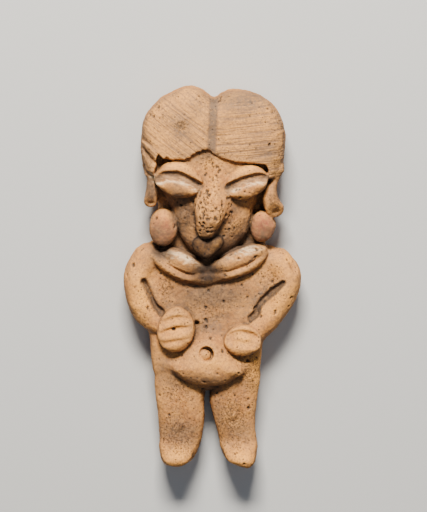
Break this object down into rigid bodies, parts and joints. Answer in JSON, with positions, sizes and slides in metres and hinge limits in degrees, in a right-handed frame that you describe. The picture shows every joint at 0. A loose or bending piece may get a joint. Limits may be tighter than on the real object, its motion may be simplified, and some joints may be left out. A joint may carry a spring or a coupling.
{
  "type": "solid clay figurine",
  "caption": "Flat solid clay figurine of a standing figure with parted hair, slit pellet eyes, ear discs, a rolled collar and hands on a swelling belly.",
  "frame": {"origin": "on the flat back, under the middle of the figure's box", "axes": "+Z out of the chest, away from the flat back that the figure lies on; +Y towards the crown of the head; +X towards the viewer's right, the figure's own left hand"},
  "size_m": [0.0462, 0.1, 0.0198],
  "materials": {
    "clay": "unglazed fired clay, buff to orange, worn and stained"
  },
  "bodies": {
    "root": {"figurine": "clay"}
  },
  "joints": []
}
